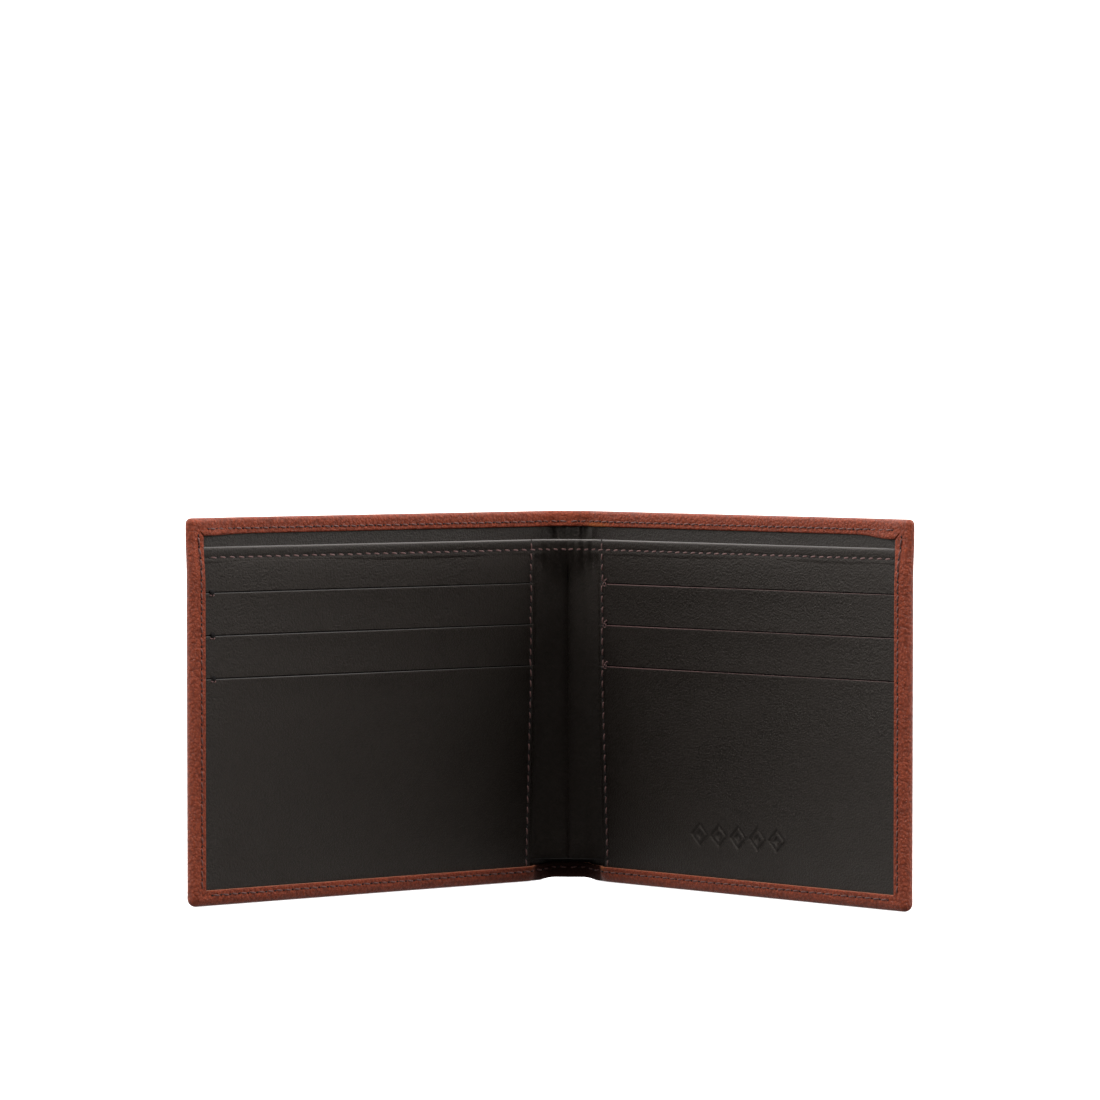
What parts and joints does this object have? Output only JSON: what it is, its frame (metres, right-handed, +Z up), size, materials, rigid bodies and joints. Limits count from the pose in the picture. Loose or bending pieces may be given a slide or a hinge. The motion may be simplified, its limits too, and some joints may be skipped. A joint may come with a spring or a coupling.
{
  "type": "bifold wallet",
  "caption": "Bifold leather wallet standing open like a book, with turned and stitched edges, stepped card slots in each wing and a full-width note pocket behind them.",
  "frame": {"origin": "centre of the footprint, on the surface that the wallet stands on", "axes": "+Z up along the fold, +X from the left wing to the right wing, the wings open towards -Y and the spine is at +Y"},
  "size_m": [0.1746, 0.079, 0.093],
  "materials": {
    "outer_leather": "pebbled red-brown leather with a soft gloss",
    "inner_leather": "fine-grained dark brown-black leather, satin",
    "lining_leather": "thin dark split leather, satin",
    "pocket_fabric": "woven dark lining cloth, matt",
    "stiffener_board": "raw board",
    "thread": "waxed reddish-brown sewing thread"
  },
  "bodies": {
    "spine": {"spine_cover": "outer_leather", "spine_lining": "lining_leather", "gusset": "inner_leather", "gusset_lining": "pocket_fabric", "gusset_thread": "thread", "spine_top_thread": "thread", "spine_bottom_thread": "thread", "spine_top_bobbin_thread": "thread", "spine_bottom_bobbin_thread": "thread"},
    "left_wing": {"left_cover": "outer_leather", "left_stiffener": "stiffener_board", "left_cover_lining": "lining_leather", "left_divider_lining": "pocket_fabric", "left_divider": "inner_leather", "left_upper_card_pocket": "inner_leather", "left_upper_pocket_lining": "pocket_fabric", "left_middle_card_pocket": "inner_leather", "left_middle_pocket_lining": "pocket_fabric", "left_lower_card_pocket": "inner_leather", "left_rim_thread": "thread", "left_top_thread": "thread", "left_divider_thread": "thread", "left_pocket_thread": "thread", "left_bobbin_thread": "thread"},
    "right_wing": {"right_cover": "outer_leather", "right_stiffener": "stiffener_board", "right_cover_lining": "lining_leather", "right_divider_lining": "pocket_fabric", "right_divider": "inner_leather", "right_upper_card_pocket": "inner_leather", "right_upper_pocket_lining": "pocket_fabric", "right_middle_card_pocket": "inner_leather", "right_middle_pocket_lining": "pocket_fabric", "right_lower_card_pocket": "inner_leather", "right_rim_thread": "thread", "right_top_thread": "thread", "right_divider_thread": "thread", "right_pocket_thread": "thread", "right_bobbin_thread": "thread"}
  },
  "joints": [
    {"name": "left_fold", "type": "hinge", "parent": "spine", "child": "left_wing", "pos_m": [-0.0055, 0.03887, 0.0465], "axis": [0, 0, 1], "range_deg": [-43, 47], "deforming": ["gusset", "gusset_lining", "gusset_thread"]},
    {"name": "right_fold", "type": "hinge", "parent": "spine", "child": "right_wing", "pos_m": [0.0055, 0.03887, 0.0465], "axis": [0, 0, -1], "range_deg": [-43, 47], "deforming": ["gusset", "gusset_lining", "gusset_thread"]}
  ]
}
